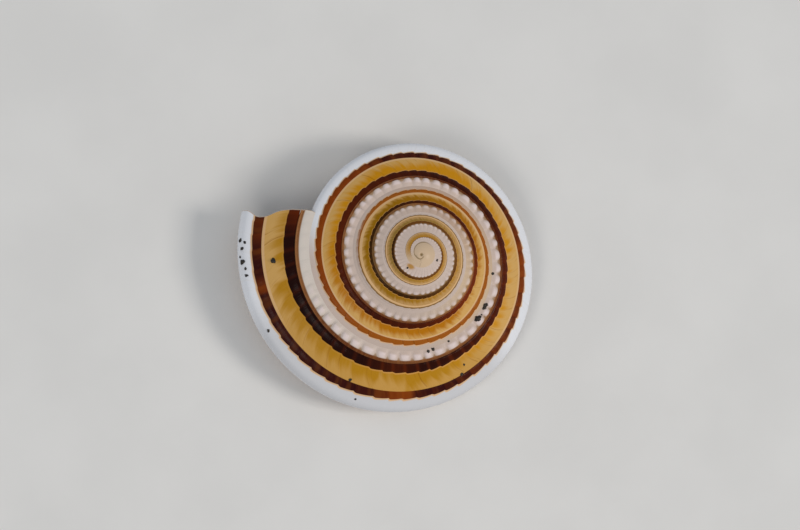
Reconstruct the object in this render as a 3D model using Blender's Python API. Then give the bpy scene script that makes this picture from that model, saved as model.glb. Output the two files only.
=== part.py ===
"""Sundial shell: one hollow, right-handed spiral shell that lies on its base.

The whorl keeps one cross-section, which turns about the shell's axis while it grows. Its outer skin runs
from the suture over the keel and the base to the wall of the open umbilicus. Each whorl hides the keel
and base of the one before it, so only the last whorl has them bare. The bore is the hollow that opens at
the lip and winds back inside the wall.

Cross-section points are given in keel radii: distance from the axis, and height above the virtual apex.
Growth angles are in radians from the reference section, and grow clockwise as seen from the apex.
"""

import math

import bmesh
import bpy
from mathutils import Matrix, Vector

# Size and growth
KEEL_RADIUS = 0.00988  # axis to keel edge at the reference section
GROWTH_RATE = 0.06523  # natural log of the size, per radian
GROWTH_SLOWING = 0.000534  # how fast that rate falls, per radian squared
LARVAL_TIGHTENING = 0.28  # extra log shrinkage reached in the first whorl
LARVAL_START, LARVAL_SPAN = -21.0, 6.0  # where it sets in, and over what angle
LIP_FLARE = 0.015  # share by which the last stretch widens
FLARE_START, FLARE_SPAN = -2.3, 1.4

# Whorls
STEPS_PER_TURN = 48
STEP = math.tau / STEPS_PER_TURN
LIP_STEP = 203  # steps are counted from the first section of the umbilicus
APEX_STEP = -48  # first section of the top, which winds on to the tip of the larval shell
LIP_ANGLE = math.radians(25.8)  # growth angle of the lip at the suture
BORE_STEPS = 66  # how far back from the lip the bore is open
LIP_WALL = (0.4, 0.75)  # share of the full wall at the lip, and one step behind it

# On the axis, in keel radii: how far the cone's tip is rounded down, and the top of the umbilicus
BLUNT_TIP = 0.030
UMBILICUS_TOP = -0.049

# Resting pose: the axis leans this far from upright, towards this direction in the XY plane
REST_LEAN = math.radians(8.900)
REST_DIRECTION = math.radians(-12.540)

# The whorl's cross-section from suture to umbilical wall. A growth line trails the suture by TRAIL steps.
# name: radius, height, trail, and the bore's radius and height inside that point
SECTION = {
    "bead_row": (0.690, -0.380, 0.0, 0.722, -0.432),
    "dark_band": (0.765, -0.433, 0.3, 0.775, -0.466),
    "shoulder": (0.930, -0.543, 1.0, 0.905, -0.555),
    "keel_top": (0.975, -0.570, 1.0, 0.940, -0.588),
    "keel_edge": (1.000, -0.630, 1.0, 0.955, -0.628),
    "keel_foot": (0.965, -0.708, 1.0, 0.930, -0.676),
    "base_cord": (0.900, -0.745, 1.0, 0.885, -0.708),
    "base_outer": (0.730, -0.778, 0.1, 0.725, -0.745),
    "base_inner": (0.560, -0.778, 0.0, 0.560, -0.746),
    "cord_foot": (0.430, -0.764, 0.0, 0.440, -0.734),
    "cord_crest": (0.385, -0.774, 0.0, 0.400, -0.726),
    "cord_edge": (0.352, -0.745, 0.0, 0.380, -0.700),
    "umbilical_wall": (0.315, -0.640, 0.0, 0.350, -0.635),
}
TOP = ("bead_row", "dark_band", "shoulder", "keel_top")
UNDERSIDE = ("keel_edge", "keel_foot", "base_cord", "base_outer", "base_inner")
UMBILICUS = ("cord_foot", "cord_crest", "cord_edge", "umbilical_wall")

# The bore's corners at the two seams, and along the base of the whorl before, which is its inner side
BORE_AT_SUTURE = (0.708, -0.428)
BORE_AT_UMBILICAL_SEAM = (0.325, -0.560)
BORE_OVER_OLD_BASE = {
    "cord_foot": (0.345, -0.548),
    "base_inner": (0.400, -0.548),
    "base_outer": (0.490, -0.545),
    "base_cord": (0.610, -0.520),
    "keel_foot": (0.665, -0.500),
    "keel_edge": (0.700, -0.455),
}

SHELL_COLOUR = (0.72, 0.55, 0.32, 1.0)
SHELL_ROUGHNESS = 0.35
SMOOTH_BELOW = math.radians(40.0)


def smooth_step(value):
    """Ease from 0 to 1 as value goes from 0 to 1."""
    value = min(max(value, 0.0), 1.0)
    return value * value * (3.0 - 2.0 * value)


def growth(angle):
    """Size of the whorl at a growth angle, as a share of its size at the reference section."""
    log_size = GROWTH_RATE * angle - GROWTH_SLOWING * angle * angle
    log_size -= LARVAL_TIGHTENING * smooth_step((LARVAL_START - angle) / LARVAL_SPAN)
    flare = LIP_FLARE * smooth_step((angle - FLARE_START) / FLARE_SPAN)
    return math.exp(log_size) * (1.0 + flare)


def step_angle(step):
    """Growth angle at which a growth line leaves the suture."""
    return LIP_ANGLE - (LIP_STEP - step) * STEP


def place(angle, radius, height):
    """A point of the cross-section, in metres, in the shell's own frame: axis along Z, apex up."""
    scale = growth(angle)
    height = -math.hypot(height * scale, BLUNT_TIP)
    spread = radius * scale
    return Vector((-math.cos(angle) * spread, math.sin(angle) * spread, height)) * KEEL_RADIUS


def skin_point(name, step):
    """A named point of the outer skin on one growth line."""
    radius, height, trail = SECTION[name][:3]
    return place(step_angle(step) - trail * STEP, radius, height)


def bore_point(name, step):
    """The point of the bore inside a named point of the outer skin."""
    _, _, trail, radius, height = SECTION[name]
    return place(step_angle(step) - trail * STEP, radius, height)


def aperture_outline(step):
    """Matching points of the skin and the bore, once round the whorl's hollow on one growth line."""
    angle = step_angle(step)
    old = step - STEPS_PER_TURN
    pairs = [(skin_point("keel_top", old + 1), place(angle, *BORE_AT_SUTURE))]
    pairs += [(skin_point(name, step), bore_point(name, step)) for name in SECTION]
    pairs.append((skin_point("cord_foot", old), place(angle, *BORE_AT_UMBILICAL_SEAM)))
    pairs += [
        (skin_point(name, old + 1), place(angle, *corner)) for name, corner in BORE_OVER_OLD_BASE.items()
    ]
    return pairs


class ShellMesh:
    """Builds the shell as one closed mesh, and shares each vertex between the whorls that meet at it."""

    def __init__(self):
        self.mesh = bmesh.new()
        self.skin = {}

    def vertex(self, name, step):
        """The skin vertex with this name on this growth line."""
        if (name, step) not in self.skin:
            self.skin[name, step] = self.mesh.verts.new(skin_point(name, step))
        return self.skin[name, step]

    def suture(self, step):
        """The inner end of a growth line: it meets the keel of the whorl before."""
        return self.vertex("keel_top", step - STEPS_PER_TURN + 1)

    def umbilical_seam(self, step):
        """The lower end of a growth line: it meets the umbilical cord of the whorl before."""
        return self.vertex("cord_foot", step - STEPS_PER_TURN)

    def strip(self, first, second):
        """Join two rows of vertices with quads."""
        for corners in zip(first, first[1:], second[1:], second):
            self.mesh.faces.new(corners)

    def ring(self, first, second):
        """Join two closed rows of vertices with quads."""
        self.strip(first + first[:1], second + second[:1])

    def fan(self, rim, tip):
        """Close a loop of vertices to one point."""
        centre = self.mesh.verts.new(tip)
        for near, far in zip(rim, rim[1:] + rim[:1]):
            self.mesh.faces.new((near, far, centre))

    def top_row(self, step):
        return [self.suture(step)] + [self.vertex(name, step) for name in TOP]

    def underside_row(self, step):
        return [self.vertex(name, step) for name in (TOP[-1], *UNDERSIDE, UMBILICUS[0])]

    def umbilicus_row(self, step):
        return [self.vertex(name, step) for name in UMBILICUS] + [self.umbilical_seam(step)]

    def add_skin(self):
        """The tops and umbilical walls of every whorl, and the underside of the last one."""
        for step in range(APEX_STEP, LIP_STEP):
            self.strip(self.top_row(step), self.top_row(step + 1))
        for step in range(LIP_STEP):
            self.strip(self.umbilicus_row(step), self.umbilicus_row(step + 1))
        for step in range(LIP_STEP - STEPS_PER_TURN + 1, LIP_STEP):
            self.strip(self.underside_row(step), self.underside_row(step + 1))

    def add_tips(self):
        """Close the first whorl on the axis, at the apex and at the top of the umbilicus."""
        sutures = [self.suture(APEX_STEP + step) for step in range(STEPS_PER_TURN)]
        self.fan(sutures + self.top_row(APEX_STEP)[-2:0:-1], (0.0, 0.0, -BLUNT_TIP * KEEL_RADIUS))
        seams = [self.umbilical_seam(step) for step in range(STEPS_PER_TURN + 1)]
        self.fan(seams + self.umbilicus_row(0)[1:-1], (0.0, 0.0, UMBILICUS_TOP * KEEL_RADIUS))

    def add_bore(self):
        """The lip's rim, the hollow behind it, and its closed inner end."""
        old = LIP_STEP - STEPS_PER_TURN
        rim = self.top_row(LIP_STEP) + self.underside_row(LIP_STEP)[1:-1] + self.umbilicus_row(LIP_STEP)
        rim += [self.vertex(name, old + 1) for name in BORE_OVER_OLD_BASE]
        for back in range(BORE_STEPS + 1):
            wall = LIP_WALL[back] if back < len(LIP_WALL) else 1.0
            pairs = aperture_outline(LIP_STEP - back)
            points = [skin.lerp(bore, wall) for skin, bore in pairs]
            loop = [self.mesh.verts.new(point) for point in points]
            self.ring(rim, loop)
            rim = loop
        self.fan(rim, sum(points, Vector()) / len(points))

    def finish(self, name):
        """The mesh data, with every face pointing out."""
        bmesh.ops.recalc_face_normals(self.mesh, faces=self.mesh.faces)
        data = bpy.data.meshes.new(name)
        self.mesh.to_mesh(data)
        self.mesh.free()
        data.shade_smooth()
        data.set_sharp_from_angle(angle=SMOOTH_BELOW)
        return data


def shell_material():
    """Polished shell in the mean colour of its bands."""
    material = bpy.data.materials.new("shell")
    material.use_nodes = True
    surface = material.node_tree.nodes["Principled BSDF"]
    surface.inputs["Base Color"].default_value = SHELL_COLOUR
    surface.inputs["Roughness"].default_value = SHELL_ROUGHNESS
    surface.inputs["Metallic"].default_value = 0.0
    return material


def build_shell():
    """The shell as an object, lying on its base with the middle of its box over the origin."""
    builder = ShellMesh()
    builder.add_skin()
    builder.add_tips()
    builder.add_bore()
    data = builder.finish("shell")
    data.materials.append(shell_material())
    shell = bpy.data.objects.new("shell", data)
    bpy.context.scene.collection.objects.link(shell)

    lean_axis = Vector((-math.sin(REST_DIRECTION), math.cos(REST_DIRECTION), 0.0))
    turn = Matrix.Rotation(REST_LEAN, 4, lean_axis)
    points = [turn @ vertex.co for vertex in data.vertices]
    low = [min(point[k] for point in points) for k in range(3)]
    high = [max(point[k] for point in points) for k in range(3)]
    middle = Vector(((low[0] + high[0]) / 2, (low[1] + high[1]) / 2, low[2]))
    shell.matrix_world = Matrix.Translation(-middle) @ turn
    return shell


def main():
    for thing in list(bpy.data.objects):
        bpy.data.objects.remove(thing, do_unlink=True)
    build_shell()


main()
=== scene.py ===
"""Sundial shell: finished skin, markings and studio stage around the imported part.

The shell is one cross-section that turns about its axis while it grows. Every surface here is a grid on
that skin: its columns are growth lines, counted back from the lip, and its rows are places across the
whorl, from the suture over the keel and the base to the wall of the umbilicus. A place across the whorl is
its radius on the top and runs on past the keel. Lengths on the skin are in keel radii, and grow with the
whorl. Growth angles run from the reference section, which lies a little behind the lip.
"""

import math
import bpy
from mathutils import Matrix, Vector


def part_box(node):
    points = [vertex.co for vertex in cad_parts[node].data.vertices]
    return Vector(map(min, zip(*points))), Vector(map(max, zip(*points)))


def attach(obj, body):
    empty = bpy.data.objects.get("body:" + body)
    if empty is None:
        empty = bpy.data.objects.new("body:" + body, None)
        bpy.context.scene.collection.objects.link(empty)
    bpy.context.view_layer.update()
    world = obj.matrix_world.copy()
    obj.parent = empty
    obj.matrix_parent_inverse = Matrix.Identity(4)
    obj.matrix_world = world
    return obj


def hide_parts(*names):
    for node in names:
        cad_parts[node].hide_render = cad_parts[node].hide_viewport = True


bl_info = {
    "name": "Sundial Shell",
    "version": (1, 0, 0),
    "blender": (4, 5, 0),
    "location": "View3D > Sidebar > Shell",
    "description": "Builds a banded, beaded sundial shell and the studio stage it lies on",
    "category": "Add Mesh",
}

import bmesh
import bpy
import numpy as np
from bpy.props import FloatProperty, FloatVectorProperty, PointerProperty
from mathutils import Matrix, Vector

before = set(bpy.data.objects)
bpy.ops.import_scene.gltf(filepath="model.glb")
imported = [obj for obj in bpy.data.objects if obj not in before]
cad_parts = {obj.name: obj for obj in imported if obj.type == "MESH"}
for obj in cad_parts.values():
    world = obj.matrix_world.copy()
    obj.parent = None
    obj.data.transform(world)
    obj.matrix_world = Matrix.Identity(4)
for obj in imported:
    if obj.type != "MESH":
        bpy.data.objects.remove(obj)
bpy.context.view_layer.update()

# The imported shell that every piece stands for: the body it rides on, its name and its corners
BODY = "root"
NODE = "shell"
CAD_LOW, CAD_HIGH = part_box(NODE)

# Growth of the whorl: lengths in keel radii, angles in radians
KEEL_SHARE = 0.5445  # axis to keel edge at the reference section, before the flare, to the shell's width
KEEL_RADIUS = KEEL_SHARE * (CAD_HIGH - CAD_LOW).x
GROWTH_RATE = 0.06523  # natural log of the size, per radian
GROWTH_SLOWING = 0.000534  # how fast that rate falls, per radian squared
LARVAL_TIGHTENING = 0.28  # extra log shrinkage reached in the first whorl
LARVAL_START, LARVAL_END = -21.0, -27.0  # the angles between which it sets in
LIP_FLARE = 0.015  # share by which the last stretch widens
FLARE_START, FLARE_END = -2.3, -0.9
LIP_ANGLE = math.radians(25.8)  # growth angle of the lip at the suture
BLUNT_TIP = 0.030  # how far the cone's tip is rounded down
UMBILICUS_TOP = -0.049  # height of the top of the umbilicus on the axis

# The keel stands out a little along one stretch: place across, and by how much there
KEEL_BULGE = ((0.930, 0.0), (0.975, 0.004), (1.043, 0.0175), (1.125, 0.012), (1.203, 0.0))
BULGE_ANGLE, BULGE_SPAN = math.radians(-260.0), math.radians(48.0)  # its middle, and how far it reaches

# Resting pose: the axis leans this far from upright, towards this direction in the XY plane
REST_LEAN = math.radians(8.900)
REST_DIRECTION = math.radians(-12.540)

# Growth lines are numbered back from the lip, which is line 0
LINES_PER_TURN = 480
DEGREES_PER_LINE = 360.0 / LINES_PER_TURN
KEEL_LAG = 10  # lines by which the keel trails the suture
OLDEST_LINE, NEWEST_LINE = -2600.0, 8.0  # beads and tiles are counted between these
FIRST_LINE = -2046  # where the first whorl leaves the larval shell
SECOND_LINE, THIRD_LINE, FOURTH_LINE = -1430, -950, -470  # where the next pieces of the top start
UMBILICUS_LINE = -2036  # where the umbilicus starts
CARVING_LINES = 130  # the carving rises over so many lines from the larval shell

STAIN_LINE, STAIN_PLACE = -1538.0, 0.613  # middle of the amber stain beside the larval shell

# The larval shell
CREASE_DEPTH, CREASE_WIDTH = 0.0035, 0.012  # of the groove round it
PIT_DEPTH, PIT_WIDTH, PIT_X, PIT_Y = 0.010, 0.010, -0.0135, -0.0117
LARVAL_RINGS = 40
LARVAL_MARKS = {"band": 0.63, "turn": -4.3, "line": -1560.0}
# Path of the groove that winds out of the pit: degrees round the axis, radius
LARVAL_GROOVE = (
    (265.0, 0.022), (278.0, 0.028), (298.0, 0.044), (318.0, 0.049), (341.0, 0.052), (360.0, 0.056)
)

# The hollow behind the lip, in growth lines and keel radii
HOLLOW_LINES, HOLLOW_STEP = 660, 4  # how far back it is open, and from one loop to the next
LIP_REACH = 40.0  # lines that the rounded lip reaches forwards, for each keel radius of its thickness
LINING_DEPTH, LINING_LINES = 0.08, 34.0  # depth of the lining under the skin, and where it gets that deep
BORE_LINES = 40.0  # where the lining has come down to the bore
LIP_ROUNDING = (0.0, 35.0, 70.0, 110.0, 145.0, 180.0)  # degrees round the lip's edge

# The top of the umbilicus: its rings, the growth lines between its spokes, and its place in the markings
UMBILICUS_RINGS, UMBILICUS_STEP = 12, 4.0
UMBILICUS_TOP_MARKS = (1.85, -1530.0)

# Places across the whorl
SUTURE = 0.600
BEAD_FOOT = 0.648
BEAD_CREST = 0.656
KEEL_TOP = 0.975
KEEL_EDGE = 1.043
CORD_FOOT = 1.677
WALL_TOP = 1.872
SEAM = 1.920

# Where each coloured band starts, from the suture outwards: its inner edge blends between two places across
BEADS_FROM = (0.630, 0.662)
THREAD_FROM = (0.6830, 0.6905)
TAN_LINE = (0.7000, 0.7050)
DARK_FROM = (0.7060, 0.7110)
EDGE_LINE_FROM = (0.7612, 0.7637)
AMBER_FROM = (0.7672, 0.7732)
CREAM_FROM = (0.8600, 0.8660)
PLATE_FROM = (0.8765, 0.8795)
PLATE_RIM_FROM = (0.8985, 0.9035)  # in the first whorls, where the outer band is narrow
PEACH_FROM = (0.9288, 0.9313)
KEEL_FROM = (0.9363, 0.9433)
LARVAL_UNTIL = (-4.18, -3.98)  # turns back from the lip where the larval shell's colour ends

# The skin's plain cross-section: place across, radius, height, and the growth line's trail in degrees
SECTION = np.array([
    (0.648, 0.648, -0.372, 0.0),
    (0.690, 0.690, -0.381, 0.9),
    (0.730, 0.730, -0.408, 2.0),
    (0.765, 0.765, -0.433, 2.8),
    (0.820, 0.820, -0.470, 4.8),
    (0.875, 0.875, -0.507, 7.8),
    (0.925, 0.925, -0.540, 8.8),
    (0.960, 0.960, -0.561, 7.9),
    (0.975, 0.975, -0.570, 7.5),
    (1.011, 0.995, -0.600, 7.5),
    (1.043, 1.000, -0.632, 7.5),
    (1.080, 0.992, -0.668, 7.5),
    (1.125, 0.968, -0.706, 7.5),
    (1.165, 0.935, -0.729, 7.5),
    (1.203, 0.900, -0.744, 7.5),
    (1.255, 0.850, -0.757, 6.0),
    (1.376, 0.730, -0.776, 0.9),
    (1.546, 0.560, -0.775, 0.2),
    (1.636, 0.470, -0.768, 0.0),
    (1.677, 0.430, -0.760, 0.0),
    (1.722, 0.385, -0.757, 0.0),
    (1.764, 0.352, -0.742, 0.0),
    (1.820, 0.330, -0.690, 0.0),
    (1.872, 0.315, -0.640, 0.0),
])

# The bore inside that skin: place across, radius, height
BORE = np.array([
    (0.600, 0.708, -0.428),
    (0.690, 0.722, -0.432),
    (0.765, 0.775, -0.466),
    (0.930, 0.905, -0.555),
    (0.975, 0.940, -0.588),
    (1.043, 0.955, -0.628),
    (1.125, 0.930, -0.676),
    (1.203, 0.885, -0.708),
    (1.376, 0.725, -0.745),
    (1.546, 0.560, -0.746),
    (1.677, 0.440, -0.734),
    (1.722, 0.400, -0.726),
    (1.764, 0.380, -0.700),
    (1.872, 0.350, -0.635),
    (1.920, 0.325, -0.560),
])

# The bore's inner side, which lies on the base of the whorl before: place across that base, radius, height
BORE_OVER_OLD_BASE = np.array([
    (0.975, 0.708, -0.428),
    (1.043, 0.700, -0.455),
    (1.125, 0.665, -0.500),
    (1.203, 0.610, -0.520),
    (1.376, 0.490, -0.545),
    (1.546, 0.400, -0.548),
    (1.677, 0.345, -0.548),
])

# Rows of the grids, closer where the skin is carved


def cut_rows(first, *stretches):
    """Places across from the first one on, in stretches: where each ends, and how many rows it has."""
    places = [first]
    for end, count in stretches:
        places.extend(np.linspace(places[-1], end, count + 1)[1:])
    return np.array(places)


WHORL_ROWS = cut_rows(
    SUTURE,
    (BEAD_FOOT, 4), (0.697, 12), (0.712, 5), (0.766, 9), (0.870, 8), (0.882, 3), (0.934, 9), (KEEL_TOP, 4),
)
KEEL_ROWS = cut_rows(KEEL_TOP, (KEEL_EDGE, 6))[1:]
BASE_ROWS = cut_rows(KEEL_EDGE, (1.120, 6), (1.240, 14), (1.600, 21), (CORD_FOOT, 7))
WALL_ROWS = cut_rows(CORD_FOOT, (1.770, 8), (WALL_TOP, 6))
UMBILICUS_ROWS = np.concatenate((WALL_ROWS, cut_rows(WALL_TOP, (SEAM, 2))[1:]))
PAD = 0.006  # an extra row beyond a shared edge, used only for its slope

# Degrees of growth from one bead, brown tile or edge scallop to the next: turns back from the lip, degrees
BEAD_SPACING = (
    (-5.0, 9.2), (-1.75, 9.2), (-1.6, 8.4), (-1.07, 8.4), (-0.79, 7.7), (-0.27, 7.4), (-0.2, 6.7),
    (0.0, 6.2),
)
TILE_SPACING = ((-5.0, 7.6), (-1.07, 7.9), (-0.79, 7.4), (-0.6, 6.8), (-0.27, 6.6), (0.0, 6.2))
SCALLOP_SPACING = (
    (-5.0, 8.0), (-1.15, 8.4), (-1.05, 7.0), (-0.8, 6.9), (-0.65, 6.4), (-0.35, 6.7), (0.0, 6.3),
)
CRENULATION_SPACING = ((-5.0, 11.0), (0.0, 9.0))

# How far outwards the outer brown band wanders: turns back from the lip, place across
BAND_WANDER = (
    (-3.95, 0.03), (-3.75, 0.024), (-3.5, 0.008), (-3.3, 0.0), (-1.9, 0.0), (-1.55, 0.002),
    (-1.35, -0.004), (-1.15, -0.006), (-1.03, -0.003), (-0.9, 0.0), (-0.77, 0.002), (-0.64, -0.002),
    (-0.48, -0.003), (-0.4, -0.005), (-0.32, -0.004), (-0.24, -0.003), (-0.1, -0.0015), (0.0, 0.0),
)

# How far all the bands move outwards before the lip: turns back from the lip, place across
BAND_SPREAD = (
    (-0.52, 0.0), (-0.4, 0.006), (-0.35, 0.008), (-0.32, 0.006), (-0.24, 0.003), (-0.16, 0.004),
    (-0.1, 0.007), (0.0, 0.008),
)

# How deep the colour of each band is, between its light and its dark colour: turns back from the lip, depth
DARK_DEPTH = (
    (-2.0, 0.8), (-1.75, 0.78), (-1.62, 0.68), (-1.55, 0.38), (-1.46, 0.3), (-1.4, 0.55), (-1.33, 0.75),
    (-1.2, 0.84), (-1.1, 0.7), (-1.03, 0.6), (-0.9, 0.72), (-0.77, 0.88), (-0.66, 0.84), (-0.58, 0.68),
    (-0.5, 0.72), (-0.42, 0.84), (-0.34, 0.95), (-0.3, 0.8), (-0.25, 0.97), (-0.15, 1.0), (-0.04, 0.97),
    (-0.01, 0.6),
)
AMBER_DEPTH = (
    (-4.0, 0.8), (-3.7, 0.9), (-3.55, 0.55), (-3.35, 0.95), (-2.85, 0.85), (-2.6, 0.5), (-2.4, 0.55),
    (-2.2, 1.05), (-1.96, 1.0), (-1.85, 1.1), (-1.7, 1.2), (-1.6, 0.8), (-1.5, 0.2), (-1.45, 0.25),
    (-1.41, 0.9), (-1.25, 1.1), (-1.23, 0.6), (-1.16, 0.9), (-1.05, 0.75), (-0.99, 0.65), (-0.93, 0.75),
    (-0.88, 1.0), (-0.85, 1.15), (-0.83, 0.7), (-0.77, 1.35), (-0.73, 1.15), (-0.71, 0.6), (-0.665, 0.9),
    (-0.64, 0.45), (-0.59, 0.8), (-0.583, 0.1), (-0.54, 0.15), (-0.5, 0.4), (-0.4, 0.5), (-0.36, 1.0),
    (-0.32, 1.45), (-0.315, 0.6), (-0.28, 0.5), (-0.275, 1.1), (-0.25, 1.0), (-0.24, 0.7), (-0.15, 0.8),
    (-0.1, 1.0), (-0.095, 0.05), (-0.08, 0.1), (-0.07, 0.8), (-0.055, 0.65), (-0.05, 0.45), (0.0, 0.35),
)
PLATE_DEPTH = (
    (-1.03, 0.0), (-0.95, 0.2), (-0.9, 0.35), (-0.86, 0.8), (-0.8, 0.88), (-0.71, 0.8), (-0.64, 0.72),
    (-0.57, 0.2), (-0.53, 0.4), (-0.5, 0.55), (-0.42, 0.66), (-0.37, 0.9), (-0.335, 0.9), (-0.325, 0.3),
    (-0.31, 0.25), (-0.28, 0.76), (-0.26, 0.97), (-0.11, 1.0), (-0.105, 0.45), (-0.095, 0.5),
    (-0.085, 0.97), (-0.065, 0.85), (-0.05, 0.72), (0.0, 0.66),
)
THREAD_DEPTH = (
    (-2.85, 0.45), (-2.5, 0.0), (-2.2, 0.15), (-1.95, 0.35), (-1.7, 0.25), (-1.5, 0.0), (-1.34, 0.65),
    (-1.17, 0.8), (-1.03, 0.3), (-0.9, 0.65), (-0.77, 0.92), (-0.62, 0.95), (-0.48, 0.4), (-0.35, 0.56),
    (-0.21, 0.92), (-0.1, 0.4), (0.0, 0.35),
)

# Grains of dark sand stuck to the skin: turns back from the lip, place across, and size in millimetres
MILLIMETRE = 0.001
SAND_DARK, SAND_LIGHT = (0.006, 0.004, 0.003), (0.05, 0.035, 0.02)
SAND_GRAINS = (
    (0.085, 0.978, 0.24), (0.078, 0.978, 0.22), (0.071, 0.992, 0.36), (0.066, 1.010, 0.16),
    (0.058, 0.992, 0.26), (0.052, 0.975, 0.20), (0.050, 1.008, 0.28), (0.072, 0.824, 0.38),
    (0.145, 0.970, 0.22), (0.248, 0.868, 0.24), (0.264, 0.965, 0.14), (0.348, 0.633, 0.20),
    (0.357, 0.628, 0.34), (0.388, 0.603, 0.16), (0.452, 0.624, 0.22), (0.457, 0.632, 0.38),
    (0.461, 0.641, 0.24), (0.467, 0.650, 0.14), (0.477, 0.622, 0.15), (0.480, 0.636, 0.24),
    (0.484, 0.625, 0.32), (0.487, 0.642, 0.18), (0.546, 0.610, 0.20), (0.394, 0.877, 0.22),
    (0.401, 0.828, 0.18), (3.506, 0.623, 0.17), (3.194, 0.630, 0.13),
)

# Camera: how far it looks down off the shell's axis, in which direction, and what it frames
VIEW_LEAN = math.radians(16.84)
VIEW_DIRECTION = math.radians(29.25)
VIEW_DISTANCE = 0.6
VIEW_WIDTH = 0.04812  # width of the framed field at the apex, in metres
VIEW_OFFSET = (0.00151, 0.00079)  # the apex's place right of and above the middle of the frame
SENSOR_WIDTH = 36.0

# Stage
FLOOR_SIZE = 4.0
STUDIO_COLOUR, STUDIO_STRENGTH = (0.86, 0.93, 1.0), 0.41
LAMP_COLOUR = (1.0, 0.94, 0.86)

UV_MARGIN = 0.01  # share of the map left free round a piece
NEARLY_ZERO = 1e-12


# --- Shape of the skin ---


def ease(value, start, end):
    """Ease from 0 at start to 1 at end."""
    share = np.clip((value - start) / (end - start), 0.0, 1.0)
    return share * share * (3.0 - 2.0 * share)


def hill(value, low, high, soft):
    """1 between low and high, easing to 0 over soft just inside them."""
    return ease(value, low, low + soft) * ease(value, high, high - soft)


def ridge(value, middle, half_width):
    """A rounded ridge, 1 high at its middle."""
    return np.exp(-(((value - middle) / half_width) ** 2))


def arch(value, low, high):
    """A round back from low to high, 1 high in the middle."""
    across = (2.0 * value - low - high) / (high - low)
    return np.clip(1.0 - across * across, 0.0, 1.0) ** 0.7


def from_knots(knots, place):
    """Value at each place on straight lines between knots of place and value."""
    return np.interp(place, *zip(*knots))


def curve(knots, at):
    """Smooth curve through knots, whose first column is the place along it and the others its values."""
    at, place, values = np.atleast_1d(at), knots[:, 0], knots[:, 1:]
    slopes = np.gradient(values, place, axis=0)
    low = np.clip(np.searchsorted(place, at, side="right") - 1, 0, len(place) - 2)
    span = (place[low + 1] - place[low])[:, None]
    t = (at - place[low])[:, None] / span
    start = (1.0 + 2.0 * t) * (1.0 - t) ** 2 * values[low] + t * (1.0 - t) ** 2 * span * slopes[low]
    return start + t * t * (3.0 - 2.0 * t) * values[low + 1] - t * t * (1.0 - t) * span * slopes[low + 1]


def growth(angle):
    """Size of the whorl at a growth angle, as a share of its size at the reference section."""
    log_size = GROWTH_RATE * angle - GROWTH_SLOWING * angle * angle
    log_size = log_size - LARVAL_TIGHTENING * ease(angle, LARVAL_START, LARVAL_END)
    return np.exp(log_size) * (1.0 + LIP_FLARE * ease(angle, FLARE_START, FLARE_END))


def line_angle(line):
    """Growth angle at which a growth line leaves the suture."""
    return LIP_ANGLE + line * math.tau / LINES_PER_TURN


def place(angle, radius, height):
    """Points of the cross-section in the shell's own frame, in keel radii: axis along Z, apex up."""
    size = growth(angle)
    drop = -np.hypot(height * size, BLUNT_TIP)
    return np.stack((-np.cos(angle) * radius * size, np.sin(angle) * radius * size, drop), axis=-1)


def count_along(line, spacing):
    """How many beads of a changing spacing each growth line lies from the lip, as a negative count."""
    every = np.arange(OLDEST_LINE, NEWEST_LINE)
    counts = np.cumsum(DEGREES_PER_LINE / from_knots(spacing, every / LINES_PER_TURN))
    wander = 1.1 * np.sin(line * 0.083) + 0.8 * np.sin(line * 0.197 + 1.3)
    return np.interp(line + wander, every, counts - counts[-1])


def bead_reach(line, across):
    """How far along the whorl each point lies from its bead: 0 on its crest, 1 at its foot."""
    phase = (count_along(line, BEAD_SPACING) % 1.0) ** 1.45
    outer = np.clip((across - BEAD_FOOT) / 0.048, 0.0, 1.0)
    narrowing = 0.60 - 0.32 * ease(line / LINES_PER_TURN, -0.62, -0.40)
    return np.abs(2.0 * phase - 1.0) / (1.0 - narrowing * outer**1.5)


def bead_shape(line, across):
    """White beads under the suture, 1 high: they narrow outwards, and die away before the lip."""
    turn = line / LINES_PER_TURN
    rise = ease(across, 0.612, BEAD_CREST)
    fall = np.clip(1.0 - (np.clip(across - BEAD_CREST, 0.0, None) / 0.036) ** 2, 0.0, 1.0) ** 0.5
    bead = np.clip(1.0 - bead_reach(line, across) ** 2, 0.0, 1.0) ** 0.6
    fade = ease(turn, -0.17, -0.08)
    return rise * fall * (bead * (1.0 - 0.85 * fade) + 0.25 * fade) * (0.4 + 0.6 * ease(turn, -4.3, -3.3))


def tile_shape(line, spacing):
    """Low cushions that the growth lines cut a spiral band into, 1 high."""
    return (0.5 - 0.5 * np.cos(math.tau * count_along(line, spacing))) ** 0.5


def scallop(line, spacing):
    """How far a band's edge falls back along a tile: 1 where the tile starts, 0 where it laps the next."""
    phase = count_along(line, spacing) % 1.0
    return 1.0 - (phase / 0.86) ** 0.7 * ease(phase, 1.0, 0.84)


def band_place(line, across):
    """The place across as the bands count it: they wander a little, and spread before the lip."""
    turn = line / LINES_PER_TURN
    spread = from_knots(BAND_SPREAD, turn) * hill(across, 0.700, 1.040, 0.090)
    return across - spread - from_knots(BAND_WANDER, turn) * hill(across, 0.840, 0.960, 0.030)


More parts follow.
